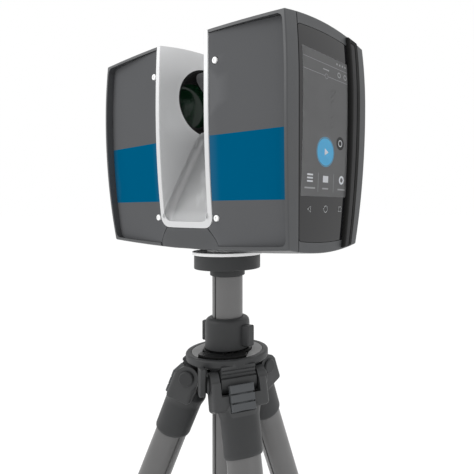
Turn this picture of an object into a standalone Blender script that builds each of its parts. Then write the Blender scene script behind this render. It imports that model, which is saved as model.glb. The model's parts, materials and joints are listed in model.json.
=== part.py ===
"""Terrestrial laser scanner on a tripod, as an assembly of separate parts.

Metres, +Z up.  The two legs of the coordinate system that matter:
 - the casing is drawn as flat-sided boxes about its own axis, X along its long
   side, then every casing part goes through the same crowning function;
 - each tripod leg is drawn hanging down from its hinge and then tilted.
The whole object stands on the floor, with the origin under the middle of its box.
"""
import math

import bmesh
import bpy
from mathutils import Vector

# ---- driving dimensions -------------------------------------------------------
GAP = 0.0003                # between parts that touch
CASE_X = 0.115              # half the casing's long side
CASE_Y = 0.0515             # half its depth
CASE_Z = 0.183              # its height
WAIST_Z = 0.1275            # height of the casing's widest section
SIDE_FALL = (0.00319, 0.00965)   # how far the ends draw in, 100 mm below and above
FRONT_FALL = (0.00487, 0.0022)   # the same for the front and rear
TOP_DOME = (0.00372, 0.00543)    # drop of the top at the ends, and at front and rear
BASE_DOME = (0.00351, 0.00471)   # rise of the underside there
WALL = 0.003
PANEL = 0.0025              # thickness of the front and rear panels
PANEL_TILT = 0.0058         # how far a panel sinks behind its rim at the outer edge
PANEL_ROOT = 0.024          # where the lean starts, behind the liner's rim
LINER_X = 0.034             # half width over the channel liner
CHANNEL_X = 0.029           # half width inside it
LINER_Z = 0.0183            # underside of the liner
FLOOR_Z = 0.024             # channel floor at its front and rear lip
RIDGE_Z = 0.104             # top of the ridge between front and rear
MIRROR_Z = 0.137            # height of the mirror axis
MIRROR_R = 0.0278
MIRROR_TIP = 0.027          # the mirror's long side reaches this far towards the lens
LENS_R = 0.031              # round opening in the lens wall
BRIDGE_TOP = 0.027          # half width of the bridge cover under the liner
BRIDGE_FOOT = 0.041         # and at the bottom
WINDOW_Y = 0.0386           # half width of the opening for the display unit
WINDOW_Z = (0.0085, 0.1736)
GRIP_Y = 0.0243             # where the display ends and the grip strip begins
GRIP_X = 0.118
DOOR_Y = 0.033
DOOR_Z = (0.018, 0.108)
BUTTON_Z = 0.140

CASE_HEIGHT = 0.600         # casing base above the floor, legs pushed in
COLUMN_R = 0.0135
COLUMN_Z = (-0.300, -0.0225)     # from here on heights are counted from the casing base
FLANGE_R = 0.0294
COLLAR_R = 0.01975
SPIDER_TOP = -0.0895
RIM_R = 0.0365
DISC_R = 0.0312
HUB_R = 0.0160
HUB_Z = -0.1285
ARM_Y = 0.0150              # half width of the spider's arms, between the legs' forks
ARM_R = 0.0098
SEAT_R = 0.0309             # the lock seat's reach at its front
SEAT_X = 0.0205             # and half its width there
SEAT_TURN = math.radians(-54)
LEG_AZIMUTH = math.radians(-27.75)
LEG_TILT = math.radians(21.77)
HINGE_Z = -0.109
HINGE_RADIUS = 0.0295
HINGE_PIN_R = 0.004
HEAD_R = 0.0102             # rounding of the leg's fork about its hinge
FORK_Y = (0.0163, 0.0235)   # where the fork's plates start and end beside the arm
SLEEVE_R = 0.0162
SLEEVE_END = 0.0585         # lengths along the leg are counted from the hinge
TUBE_R = 0.0139
TUBE_END = 0.449
LOWER_R = 0.0120
LOWER_TOP = 0.159
LOWER_END = 0.501
FOOT_R = 0.0135
FOOT_FLAT = 0.001           # how much of the round foot is flat on the floor

COLOURS = {
    "casing": ((0.115, 0.117, 0.120), 0.0, 0.45),
    "panel": ((0.125, 0.127, 0.130), 0.0, 0.42),
    "bridge": ((0.105, 0.107, 0.110), 0.0, 0.45),
    "silver": ((0.80, 0.81, 0.82), 0.6, 0.30),
    "black": ((0.012, 0.012, 0.013), 0.0, 0.35),
    "rubber": ((0.020, 0.020, 0.021), 0.0, 0.70),
    "glass": ((0.05, 0.07, 0.08), 0.0, 0.05),
    "steel": ((0.60, 0.61, 0.62), 1.0, 0.25),
    "mirror": ((0.90, 0.91, 0.92), 1.0, 0.03),
    "board": ((0.02, 0.16, 0.07), 0.0, 0.50),
    "copper": ((0.62, 0.30, 0.14), 1.0, 0.40),
    "casting": ((0.045, 0.046, 0.047), 0.0, 0.55),
    "tube": ((0.17, 0.165, 0.165), 0.3, 0.45),
    "tab": ((0.095, 0.100, 0.105), 0.0, 0.55),
    "disc": ((0.38, 0.38, 0.38), 0.1, 0.60),
}


# ---- scene and helpers -------------------------------------------------------
def clear_scene():
    for obj in list(bpy.data.objects):
        bpy.data.objects.remove(obj, do_unlink=True)


def collection(name):
    found = bpy.data.collections.new(name)
    bpy.context.scene.collection.children.link(found)
    return found


def material(name):
    """The named finish, made once."""
    if name in bpy.data.materials:
        return bpy.data.materials[name]
    colour, metallic, roughness = COLOURS[name]
    made = bpy.data.materials.new(name)
    made.use_nodes = True
    shader = made.node_tree.nodes["Principled BSDF"]
    shader.inputs["Base Color"].default_value = (*colour, 1.0)
    shader.inputs["Metallic"].default_value = metallic
    shader.inputs["Roughness"].default_value = roughness
    return made


clear_scene()
PARTS = collection("laser_scanner")
TOOLS = collection("cutters")


def empty(name, parent=None, location=(0, 0, 0), rotation=(0, 0, 0)):
    obj = bpy.data.objects.new(name, None)
    PARTS.objects.link(obj)
    obj.parent = parent
    obj.location = location
    obj.rotation_euler = rotation
    return obj


def add(name, bm, parent, finish):
    """Turn a bmesh into an object; with no finish it is a cutter."""
    mesh = bpy.data.meshes.new(name)
    bm.to_mesh(mesh)
    bm.free()
    obj = bpy.data.objects.new(name, mesh)
    obj.parent = parent
    if finish:
        PARTS.objects.link(obj)
        mesh.materials.append(material(finish))
    else:
        TOOLS.objects.link(obj)
        obj.hide_render = True
        obj.display_type = "WIRE"
    return obj


def box(name, low, high, parent, finish=None, bevel=0.0, along=None, keep=None, steps=2):
    """A box from corner to corner; bevel rounds its edges, or those along one axis.

    keep(middle) leaves an edge sharp where it returns False.
    """
    bm = bmesh.new()
    bmesh.ops.create_cube(bm, size=1.0)
    low = Vector(low)
    high = Vector(high)
    bmesh.ops.scale(bm, vec=high - low, verts=bm.verts)
    bmesh.ops.translate(bm, vec=(low + high) / 2, verts=bm.verts)
    if bevel:
        chosen = []
        for edge in bm.edges:
            run = (edge.verts[1].co - edge.verts[0].co).normalized()
            middle = (edge.verts[0].co + edge.verts[1].co) / 2
            if along is not None and abs(run["xyz".index(along)]) < 0.5:
                continue
            if keep is None or keep(middle):
                chosen.append(edge)
        bmesh.ops.bevel(bm, geom=chosen, offset=bevel, segments=steps, affect="EDGES",
                        profile=0.5, clamp_overlap=True)
    return add(name, bm, parent, finish)


def rod(name, radius, start, end, parent, finish=None, axis="z", centre=(0, 0), sides=24):
    """A cylinder along an axis; centre gives its place across that axis."""
    bm = bmesh.new()
    bmesh.ops.create_cone(bm, cap_ends=True, segments=sides, radius1=radius, radius2=radius,
                          depth=end - start)
    bmesh.ops.translate(bm, vec=(0, 0, (start + end) / 2), verts=bm.verts)
    for vert in bm.verts:
        x, y, z = vert.co
        if axis == "x":
            vert.co = (z, x + centre[0], y + centre[1])
        elif axis == "y":
            vert.co = (y + centre[0], z, x + centre[1])
        else:
            vert.co = (x + centre[0], y + centre[1], z)
    return add(name, bm, parent, finish)


def turned(name, profile, parent, finish=None, closed=False, steps=24, axis="z", location=(0, 0, 0)):
    """Turn a profile of (radius, height) points, which runs down its outer side."""
    bm = bmesh.new()
    points = [bm.verts.new((radius, 0, height)) for radius, height in profile]
    for first, second in zip(points, points[1:]):
        bm.edges.new((first, second))
    if closed:
        bm.edges.new((points[-1], points[0]))
    obj = add(name, bm, parent, finish)
    screw = obj.modifiers.new("turn", "SCREW")
    screw.steps = steps
    screw.render_steps = steps
    screw.use_merge_vertices = True
    screw.merge_threshold = 0.00001
    if axis == "x":
        obj.rotation_euler = (0, math.radians(90), 0)
    obj.location = location
    return obj


def ring(name, inner, outer, low, high, parent, finish, steps=24, axis="z", location=(0, 0, 0)):
    profile = [(inner, high), (outer, high), (outer, low), (inner, low)]
    return turned(name, profile, parent, finish, True, steps, axis, location)


def outline(name, points, low, high, parent, finish=None, plane="xz"):
    """A flat outline given thickness across its plane, from low to high."""
    curve = bpy.data.curves.new(name, "CURVE")
    curve.dimensions = "2D"
    curve.fill_mode = "BOTH"
    curve.extrude = (high - low) / 2
    spline = curve.splines.new("POLY")
    spline.points.add(len(points) - 1)
    for point, (across, up) in zip(spline.points, points):
        point.co = (across, up, 0, 1)
    spline.use_cyclic_u = True
    drawn = bpy.data.objects.new(name + "_outline", curve)
    TOOLS.objects.link(drawn)
    bpy.context.view_layer.update()
    ready = drawn.evaluated_get(bpy.context.evaluated_depsgraph_get())
    bm = bmesh.new()
    mesh = bpy.data.meshes.new_from_object(ready)
    bm.from_mesh(mesh)
    bpy.data.meshes.remove(mesh)
    bpy.data.objects.remove(drawn, do_unlink=True)
    bmesh.ops.remove_doubles(bm, verts=bm.verts, dist=0.00001)
    middle = (low + high) / 2
    for vert in bm.verts:
        across, up, depth = vert.co
        vert.co = (across, depth + middle, up) if plane == "xz" else (depth + middle, across, up)
    bmesh.ops.recalc_face_normals(bm, faces=bm.faces)
    return add(name, bm, parent, finish)


def cut(obj, tool, operation="DIFFERENCE"):
    modifier = obj.modifiers.new(tool.name, "BOOLEAN")
    modifier.operation = operation
    modifier.solver = "EXACT"
    modifier.object = tool
    return obj


def settle(obj):
    """Replace an object's mesh by its evaluated one, and drop its modifiers."""
    bpy.context.view_layer.update()
    ready = obj.evaluated_get(bpy.context.evaluated_depsgraph_get())
    mesh = bpy.data.meshes.new_from_object(ready)
    mesh.name = obj.name
    obj.modifiers.clear()
    obj.data = mesh
    return obj


def arc(centre, radius, start, end, steps):
    """Points on a circle, from one angle to another in degrees."""
    points = []
    for step in range(steps + 1):
        angle = math.radians(start + (end - start) * step / steps)
        points.append((centre[0] + radius * math.cos(angle), centre[1] + radius * math.sin(angle)))
    return points


# ---- the casing's shape -------------------------------------------------------
def crowned(point):
    """Where a point of the flat-sided casing lies on the crowned one."""
    x, y, z = point
    reach = (z - WAIST_Z) / 0.1
    upper = 1 if reach > 0 else 0
    across = (x / CASE_X) ** 2
    deep = (y / CASE_Y) ** 2
    top = max(z / CASE_Z, 0) ** 3
    base = max(1 - z / CASE_Z, 0) ** 3
    rise = base * (BASE_DOME[0] * across + BASE_DOME[1] * deep)
    drop = top * (TOP_DOME[0] * across + TOP_DOME[1] * deep)
    return Vector((x * (1 - SIDE_FALL[upper] * reach ** 2 / CASE_X),
                   y * (1 - FRONT_FALL[upper] * reach ** 2 / CASE_Y),
                   z + rise - drop))


def crown(obj, levels=6, across=True):
    """Give a flat-sided casing part the casing's curves."""
    settle(obj)
    bm = bmesh.new()
    bm.from_mesh(obj.data)
    planes = [((0, 0, CASE_Z * step / levels), (0, 0, 1)) for step in range(1, levels)]
    if across:
        planes += [((0, CASE_Y * step, 0), (0, 1, 0)) for step in (-0.8, -0.5, 0, 0.5, 0.8)]
        planes += [((CASE_X * step, 0, 0), (1, 0, 0)) for step in (-0.75, -0.5, 0.5, 0.75)]
    for place, normal in planes:
        everything = bm.verts[:] + bm.edges[:] + bm.faces[:]
        bmesh.ops.bisect_plane(bm, geom=everything, plane_co=place, plane_no=normal, dist=0.00002)
    bmesh.ops.triangulate(bm, faces=bm.faces)
    for vert in bm.verts:
        vert.co = crowned(vert.co)
    bm.to_mesh(obj.data)
    bm.free()
    return obj


def sink(obj, side):
    """Lean a panel back towards the casing's end; side is -1 for the front and 1 for the rear."""
    run = CASE_X - WALL - PANEL_ROOT
    for vert in obj.data.vertices:
        vert.co.y -= side * PANEL_TILT * (abs(vert.co.x) - PANEL_ROOT) / run
    return obj


def seam_points(offset):
    """The bridge cover's outline: narrow at the top, flaring to the bottom."""
    steps = 6
    right = []
    for step in range(steps + 1):
        share = step / steps
        width = BRIDGE_TOP + (BRIDGE_FOOT - BRIDGE_TOP) * math.sin(share * math.pi / 2)
        right.append((width + offset, (LINER_Z - GAP + offset) * (1 - share) - offset * share))
    return right + [(-x, z) for x, z in reversed(right)]


def liner_box(name, offset, parent, finish=None):
    """The liner's outer form, grown by an offset."""
    return box(name, (-LINER_X - offset, -CASE_Y - 0.02 * bool(offset), LINER_Z - offset),
               (LINER_X + offset, CASE_Y + 0.02 * bool(offset), CASE_Z + 0.05 * bool(offset)),
               parent, finish, bevel=0.010 + offset, along="y",
               keep=lambda middle: middle.z < 0.1, steps=4)


# ---- casing shells, panels and liner -----------------------------------------
def shell(side, case):
    """One tower's outer shell: a skin round its end, top and bottom, open elsewhere."""
    name = "left_shell" if side < 0 else "right_shell"

    def span(near, far):
        return (near, far) if side > 0 else (-far, -near)

    x_low, x_high = span(0.020, CASE_X)
    obj = box(name, (x_low, -CASE_Y, 0), (x_high, CASE_Y, CASE_Z), case, "casing", bevel=0.0028,
              keep=lambda middle: abs(middle.x) > 0.04)
    x_low, x_high = span(-0.010, CASE_X - WALL)
    cut(obj, box(name + "_hollow", (x_low, -0.06, WALL), (x_high, 0.06, CASE_Z - WALL), case,
                 bevel=0.005, along="y", steps=3))
    x_low, x_high = span(-0.010, LINER_X + GAP)
    cut(obj, box(name + "_inner", (x_low, -0.06, -0.01), (x_high, 0.06, 0.2), case))
    cut(obj, bpy.data.objects["bridge_clearance"])
    return obj


def left_shell(case):
    obj = crown(shell(-1, case), levels=6)
    window = box("door_window", (-0.13, -DOOR_Y, DOOR_Z[0]), (-0.10, DOOR_Y, DOOR_Z[1]), case)
    cut(obj, window)
    cut(obj, rod("button_hole", 0.0073, -0.13, -0.10, case, axis="x", centre=(0, BUTTON_Z)))
    pin_z, pin_x = door_axis()
    cut(obj, rod("hinge_bore", 0.00105, -DOOR_Y - 0.002, DOOR_Y + 0.002, case, axis="y",
                 centre=(pin_x, pin_z), sides=10))
    return obj


def right_shell(case):
    obj = shell(1, case)
    cut(obj, box("display_window", (0.10, -WINDOW_Y, WINDOW_Z[0]), (0.13, WINDOW_Y, WINDOW_Z[1]), case,
                 bevel=0.0025, along="x"))
    return crown(obj, levels=6)


def panel(side, front, case):
    """A front or rear panel of one tower, cut round the liner and the bridge cover."""
    name = f"{'left' if side < 0 else 'right'}_{'front' if front < 0 else 'rear'}_panel"
    outer = CASE_X - WALL - GAP
    x_low, x_high = (PANEL_ROOT, outer) if side > 0 else (-outer, -PANEL_ROOT)
    y_face = CASE_Y - GAP
    y_low, y_high = sorted((front * y_face, front * (y_face - PANEL)))
    top = CASE_Z - WALL - GAP
    obj = box(name, (x_low, y_low, WALL + GAP), (x_high, y_high, top), case, "panel", bevel=0.005, along="y",
              keep=lambda middle: abs(middle.x) > 0.05, steps=3)
    sink(obj, front)
    cut(obj, bpy.data.objects["liner_clearance"])
    cut(obj, bpy.data.objects["bridge_clearance"])
    return crown(obj)


def bridge_cover(front, case):
    """A cover plate under the channel, between the two towers' panels."""
    name = "front_bridge_cover" if front < 0 else "rear_bridge_cover"
    low, high = sorted((front * (CASE_Y - GAP), front * (CASE_Y - GAP - PANEL)))
    return crown(outline(name, seam_points(0), low, high, case, "bridge"))


def channel_liner(case):
    """The bright U between the towers, with a round opening in each wall."""
    obj = liner_box("channel_liner", 0, case, "silver")
    cut(obj, box("channel_space", (-CHANNEL_X, -0.06, FLOOR_Z), (CHANNEL_X, 0.06, 0.2), case,
                 bevel=0.008, along="y", keep=lambda middle: middle.z < 0.1, steps=4))
    crown(obj, levels=6)
    cut(obj, rod("lens_opening", LENS_R, -0.04, -0.02, case, axis="x", centre=(0, MIRROR_Z)))
    cut(obj, rod("rotor_opening", MIRROR_R + 0.0006, 0.02, 0.04, case, axis="x", centre=(0, MIRROR_Z)))
    return obj


def channel_ridge(case):
    """The roof-shaped floor of the channel, an open shell."""
    foot_y = 0.0485
    skin = 0.0022
    low = FLOOR_Z + GAP
    nose = 0.006
    slope = math.degrees(math.atan2(RIDGE_Z - nose - low, foot_y - nose))
    outer = [(foot_y, low)] + arc((0, RIDGE_Z - nose), nose, 90 - slope, 90 + slope, 6) + [(-foot_y, low)]
    back = skin / math.sin(math.radians(slope))
    inner = [(-foot_y + back, low)] + arc((0, RIDGE_Z - nose), nose - skin, 90 + slope, 90 - slope, 4)
    inner += [(foot_y - back, low)]
    width = CHANNEL_X - GAP
    obj = outline("channel_ridge", outer + inner, -width, width, case, "silver", plane="yz")
    trim = box("ridge_corner", (-0.03, -0.06, 0.02), (0.03, 0.06, 0.2), case, bevel=0.008, along="y",
               keep=lambda middle: middle.z < 0.1, steps=4)
    shrink = (CHANNEL_X - GAP) / 0.03
    for vert in trim.data.vertices:
        vert.co.x *= shrink
        vert.co.z = low + (vert.co.z - 0.02)
    cut(obj, trim, "INTERSECT")
    return crown(obj, levels=6)


# ---- display side ------------------------------------------------------------
def display_unit(case):
    low_z = WINDOW_Z[0] + GAP
    high_z = WINDOW_Z[1] - GAP
    far_y = GRIP_Y - GAP
    crown(box("display_glass", (CASE_X - 0.0014, -WINDOW_Y + GAP, low_z), (CASE_X, far_y, high_z),
              case, "glass", bevel=0.0025, along="x"), levels=6)
    box("display_module", (0.1025, -0.0355, 0.045), (0.1075, 0.0235, 0.155), case, "steel", bevel=0.0008)
    grip = box("grip_strip", (CASE_X + GAP, GRIP_Y, 0.0015), (GRIP_X, WINDOW_Y, CASE_Z - 0.0015), case,
               "black", bevel=0.0018, keep=lambda middle: middle.x > 0.1155, steps=2)
    root = box("grip_root", (CASE_X - 0.0030, GRIP_Y, low_z), (CASE_X + 0.001, WINDOW_Y - GAP, high_z), case,
               bevel=0.0028, along="x", keep=lambda middle: middle.y > 0.03)
    crown(cut(grip, root, "UNION"), levels=6)


# ---- battery side ------------------------------------------------------------
def door_axis():
    """Height and x of the battery door's hinge, just inside the skin."""
    height = DOOR_Z[1] - 0.0022
    return height, -(crowned((CASE_X, 0, height)).x - 0.0015)


def battery_side(case):
    pin_z, pin_x = door_axis()
    hinge = empty("battery_door_hinge", case, (pin_x, 0, pin_z))
    skin = box("battery_door", (-CASE_X, -0.045, 0.004), (-CASE_X + WALL - 0.0002, 0.045, 0.15), case,
               "casing")
    crown(skin, levels=16)
    cut(skin, box("door_form", (-0.13, -DOOR_Y + GAP, DOOR_Z[0] + GAP),
                  (-0.10, DOOR_Y - GAP, DOOR_Z[1] - 2 * GAP), case), "INTERSECT")
    cut(skin, rod("door_bore", 0.00105, -0.05, 0.05, case, axis="y", centre=(pin_x, pin_z), sides=10))
    latch_z = DOOR_Z[0] + 0.012
    slot = box("latch_slot", (-0.13, -0.0085, latch_z - 0.0075), (-0.10, 0.0085, latch_z + 0.0105), case)
    cut(skin, slot)
    settle(skin)
    hang(skin, hinge)
    face = -crowned((CASE_X, 0, latch_z)).x
    latch = box("door_latch", (face - 0.0008, -0.008, latch_z - 0.007), (face + 0.0020, 0.008, latch_z + 0.007),
                case, "black", bevel=0.0006)
    slide = empty("door_latch_slide", hinge, (0, 0, 0))
    hang(latch, slide)
    rod("door_hinge_pin", 0.0008, -DOOR_Y - 0.0015, DOOR_Y + 0.0015, case, "steel", axis="y",
        centre=(pin_x, pin_z), sides=10)
    box("battery", (-0.1045, -0.029, 0.022), (-0.0835, 0.029, 0.098), case, "black", bevel=0.002)
    turned("power_button", [(0, 0), (0.0086, 0), (0.0086, -0.0018), (0.0070, -0.0018),
                            (0.0070, -0.0062), (0.0062, -0.0068), (0, -0.0068)],
           case, "steel", axis="x", location=(-0.1095, 0, BUTTON_Z))


def hang(obj, parent):
    """Re-parent an object without moving it."""
    bpy.context.view_layer.update()
    world = obj.matrix_world.copy()
    obj.parent = parent
    bpy.context.view_layer.update()
    obj.matrix_parent_inverse = parent.matrix_world.inverted()
    obj.matrix_basis = world


# ---- optics, mirror and inner pieces -------------------------------------------
def optics(case):
    """The lens cone in the left wall, the window at its bottom and what is behind it."""
    place = (0, 0, MIRROR_Z)
    turned("lens_shroud", [(0.0292, -0.0296), (LENS_R - GAP, -0.0296), (LENS_R - GAP, -0.0520),
                           (0.0228, -0.0520), (0.0228, -0.0440)], case, "black", True, 24, "x", place)
    rod("lens_window", 0.0225, -0.0505, -0.0475, case, "glass", axis="x", centre=(0, MIRROR_Z))
    ring("receiver_barrel", 0.0210, 0.0262, -0.0820, -0.0523, case, "steel", 24, "x", place)
    box("laser_module", (-0.078, 0.0285, 0.122), (-0.052, 0.0425, 0.152), case, "copper", bevel=0.001)
    box("main_board", (-0.106, -0.0366, 0.112), (-0.040, -0.0350, 0.168), case, "board")


def mirror_unit(case):
    """The mirror's rotor, bearings and motor on the axis through the right tower."""
    place = (0, 0, MIRROR_Z)
    spin = empty("mirror_axis", case, place)
    slant = MIRROR_TIP - MIRROR_R
    rotor = rod("mirror_rotor", MIRROR_R, -MIRROR_TIP, 0.0330, spin, "casing", axis="x")
    wedge = box("rotor_slant", (-0.2, -0.05, -0.1), (0, 0.05, 0.1), spin)
    wedge.rotation_euler = (0, math.radians(-45), 0)
    wedge.location = (-slant, 0, 0)
    cut(rotor, wedge)
    pocket = rod("glass_pocket", 0.0262, -0.0025, 0.02, spin)
    tilt_to_slant(pocket, slant)
    cut(rotor, pocket)
    glass = rod("mirror_glass", 0.0259, -0.0022, -0.0004, spin, "mirror")
    tilt_to_slant(glass, slant)
    rod("rotor_shaft", 0.0060, 0.0333, 0.0800, spin, "steel", axis="x")
    ring("shaft_bearing", 0.0063, 0.0120, 0.0400, 0.0500, case, "steel", 20, "x", place)
    ring("mirror_motor", 0.0123, 0.0240, 0.0505, 0.0770, case, "copper", 24, "x", place)


def tilt_to_slant(obj, slant):
    """Lay a disc drawn in XY onto the rotor's slanted face."""
    obj.rotation_euler = (0, math.radians(-135), 0)
    obj.location = (-slant, 0, 0)
    for vert in obj.data.vertices:
        vert.co.x *= 1.37


# ---- base of the casing ------------------------------------------------------
def base_housing(case):
    obj = outline("base_housing", seam_points(0), -0.0470, 0.0470, case, "casing")
    crown(obj, levels=8)
    cut(obj, rod("housing_hollow", 0.0300, 0.0035, 0.05, case))
    cut(obj, rod("spindle_hole", 0.0186, -0.01, 0.01, case, sides=24))
    ring("pan_bearing", 0.0183, 0.0270, 0.0038, 0.0100, case, "steel", 24)
    ring("pan_motor", 0.0186, 0.0285, 0.0104, 0.0165, case, "copper", 20)


def turret(column):
    """What the casing turns on: base plate, spindle, the tripod's flange and its screw."""
    turned("base_plate", [(0.0053, 0.0150), (0.0180, 0.0150), (0.0180, -0.0004), (0.0302, -0.0004),
                          (0.0310, -0.0010), (0.0310, -0.0026), (0.0304, -0.0032), (0.0053, -0.0032)],
           column, "silver", True, 28)
    turned("column_flange", [(0.0053, -0.0035), (0.0284, -0.0035), (FLANGE_R, -0.0045), (FLANGE_R, -0.0147),
                             (0.0284, -0.0157), (0.0165, -0.0157), (0.0155, -0.0172), (0.0155, -0.0222),
                             (0.0053, -0.0222)], column, "casting", True, 24)
    turned("mounting_screw", [(0, 0.0120), (0.0045, 0.0120), (0.0050, 0.0115), (0.0050, -0.0225),
                              (0.0100, -0.0225), (0.0100, -0.0300), (0, -0.0300)], column, "steel", steps=16)


# ---- tripod column and spider --------------------------------------------------
def centre_column(column):
    obj = ring("centre_column", COLUMN_R - 0.0022, COLUMN_R, COLUMN_Z[0], COLUMN_Z[1], column, "tube", 24)
    groove = box("column_groove", (COLUMN_R - 0.0009, -0.0012, -0.4), (0.02, 0.0012, 0.1), column)
    groove.rotation_euler = (0, 0, math.radians(-94))
    cut(obj, groove)
    return obj


def column_collar(collar):
    """The twist collar that locks the column, with two finger wings."""
    obj = turned("lock_collar", [(COLUMN_R + GAP, -0.0597), (0.0165, -0.0597), (0.0190, -0.0615),
                                 (COLLAR_R, -0.0647), (COLLAR_R, -0.0872), (COLUMN_R + GAP, -0.0872)],
                 collar, "casting", True, 24)
    for side in (-1, 1):
        low, high = sorted((side * 0.0150, side * 0.0265))
        wing = box(f"collar_wing_{side}", (low, -0.0045, -0.0838), (high, 0.0045, -0.0655), collar,
                   bevel=0.0015)
        cut(obj, wing, "UNION")
    cut(obj, rod("collar_bore", COLUMN_R + GAP, -0.1, 0, collar))
    return obj


def spider(root):
    """The tripod's hub: a rim under a disc, and an arm for each leg."""
    top = SPIDER_TOP
    obj = turned("tripod_spider", [(COLUMN_R + GAP, top - 0.0021), (DISC_R + GAP, top - 0.0021),
                                   (DISC_R + GAP, top), (RIM_R - 0.001, top), (RIM_R, top - 0.001),
                                   (RIM_R, top - 0.0060), (0.0330, top - 0.0085), (HUB_R, top - 0.0085),
                                   (HUB_R, HUB_Z), (COLUMN_R + GAP, HUB_Z)], root, "casting", True, 28)
    for number in range(3):
        turn = empty(f"arm_turn_{number + 1}", root, (0, 0, 0), (0, 0, leg_azimuth(number)))
        arm = box(f"arm_{number}", (0.0140, -ARM_Y, HINGE_Z), (HINGE_RADIUS, ARM_Y, top - 0.004), turn)
        cut(obj, arm, "UNION")
        eye = rod(f"eye_{number}", ARM_R, -ARM_Y, ARM_Y, turn, axis="y", centre=(HINGE_RADIUS, HINGE_Z))
        cut(obj, eye, "UNION")
        nose = box(f"nose_{number}", (0.0250, -ARM_Y + 0.0005, HINGE_Z + 0.003),
                   (RIM_R - 0.0002, ARM_Y - 0.0005, top - 0.0045), turn, bevel=0.0025, along="y",
                   keep=lambda middle: middle.x > 0.03 and middle.z < top - 0.006)
        cut(obj, nose, "UNION")
        cut(obj, rod(f"pin_bore_{number}", HINGE_PIN_R + GAP, -0.05, 0.05, turn, axis="y",
                     centre=(HINGE_RADIUS, HINGE_Z), sides=16))
    side_lug(obj)
    disc = ring("spider_disc", 0.0218, DISC_R, top - 0.0018, top, root, "disc", 28)
    facing = empty("seat_facing", root, (0, 0, 0), (0, 0, SEAT_TURN))
    reach = SEAT_X + GAP
    cut(disc, box("disc_notch", (0, -reach, top - 0.01), (0.05, reach, top + 0.01), facing))
    seat = ring("lock_seat", COLUMN_R + GAP, 0.0213, top - 0.0018, top + 0.0020, root, "black", 24)
    front = box("seat_front", (0.0160, -SEAT_X, top - 0.0018), (0.05, SEAT_X, top + 0.0020), facing)
    cut(front, rod("seat_round", SEAT_R, -0.2, 0.2, facing, sides=48), "INTERSECT")
    cut(seat, front, "UNION")
    return obj


def side_lug(obj):
    """A rounded lug that hangs from the rim beside the first leg."""
    turn = bpy.data.objects["arm_turn_1"]
    lug = box("side_lug", (0.0245, -0.0315, HINGE_Z - 0.0085), (0.0345, -0.0268, SPIDER_TOP - 0.0045), turn,
              bevel=0.0045, along="y", keep=lambda middle: middle.z < HINGE_Z, steps=4)
    cut(obj, lug, "UNION")


def hinge_pin(number, root):
    """A leg's hinge pin, with a round cap outside each plate of the fork."""
    reach = FORK_Y[1] + GAP
    profile = [(0, reach + 0.0022), (0.0056, reach + 0.0022), (0.0066, reach + 0.0012), (0.0066, reach),
               (HINGE_PIN_R, reach)]
    profile += [(radius, -height) for radius, height in reversed(profile)]
    angle = leg_azimuth(number)
    pin = turned(f"leg_{number + 1}_hinge_pin", profile, root, "casting", steps=16)
    pin.rotation_euler = (math.radians(90), 0, angle)
    pin.location = (HINGE_RADIUS * math.cos(angle), HINGE_RADIUS * math.sin(angle), HINGE_Z)
    return pin


# ---- tripod legs -------------------------------------------------------------
def leg_azimuth(number):
    return LEG_AZIMUTH + number * math.tau / 3


def leg_frame(number, root):
    """An empty on the leg's hinge: its -Z runs down the leg and its +X faces outwards."""
    angle = leg_azimuth(number)
    place = (HINGE_RADIUS * math.cos(angle), HINGE_RADIUS * math.sin(angle), HINGE_Z)
    return empty(f"leg_{number + 1}_hinge", root, place, (0, -LEG_TILT, angle))


def leg_casting(name, leg):
    """The leg's head: a fork round the spider's arm, running into a round sleeve."""
    wide = FORK_Y[1]
    obj = box(name, (-HEAD_R, -wide, -0.0225), (0.0125, wide, 0.0), leg, "casting", bevel=0.003,
              keep=lambda middle: middle.z < -0.01)
    cut(obj, rod(name + "_eye", HEAD_R, -wide, wide, leg, axis="y"), "UNION")
    cut(obj, box(name + "_slot", (-0.05, -FORK_Y[0], -0.0112), (0.05, FORK_Y[0], 0.05), leg))
    sleeve = turned(name + "_sleeve", [(0, -0.0150), (0.0150, -0.0150), (0.0180, -0.0215), (SLEEVE_R, -0.0290),
                                       (SLEEVE_R - 0.0004, -SLEEVE_END + 0.0020),
                                       (SLEEVE_R - 0.0014, -SLEEVE_END), (0, -SLEEVE_END)], leg, steps=20)
    cut(obj, sleeve, "UNION")
    cut(obj, rod(name + "_socket", TUBE_R + GAP, -0.07, -0.0300, leg, sides=20))
    cut(obj, rod(name + "_bore", HINGE_PIN_R + GAP, -0.03, 0.03, leg, axis="y", sides=16))
    cut(obj, box(name + "_pocket", (0.0100, -0.0105, -0.0245), (0.03, 0.0105, 0.02), leg))
    return obj


def angle_tab(name, leg):
    """The ribbed tab that sets the leg's angle; it pulls outwards."""
    slide = empty(name + "_slide", leg)
    obj = box(name, (0.0105, -0.0100, -0.0241), (0.0170, 0.0100, -0.0035), slide, "tab", bevel=0.0012,
              keep=lambda middle: middle.x > 0.015)
    for step, height in enumerate((-0.0190, -0.0138, -0.0086)):
        cut(obj, box(f"{name}_rib_{step}", (0.0162, -0.02, height - 0.0006), (0.02, 0.02, height + 0.0006),
                     slide))
    return obj


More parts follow.
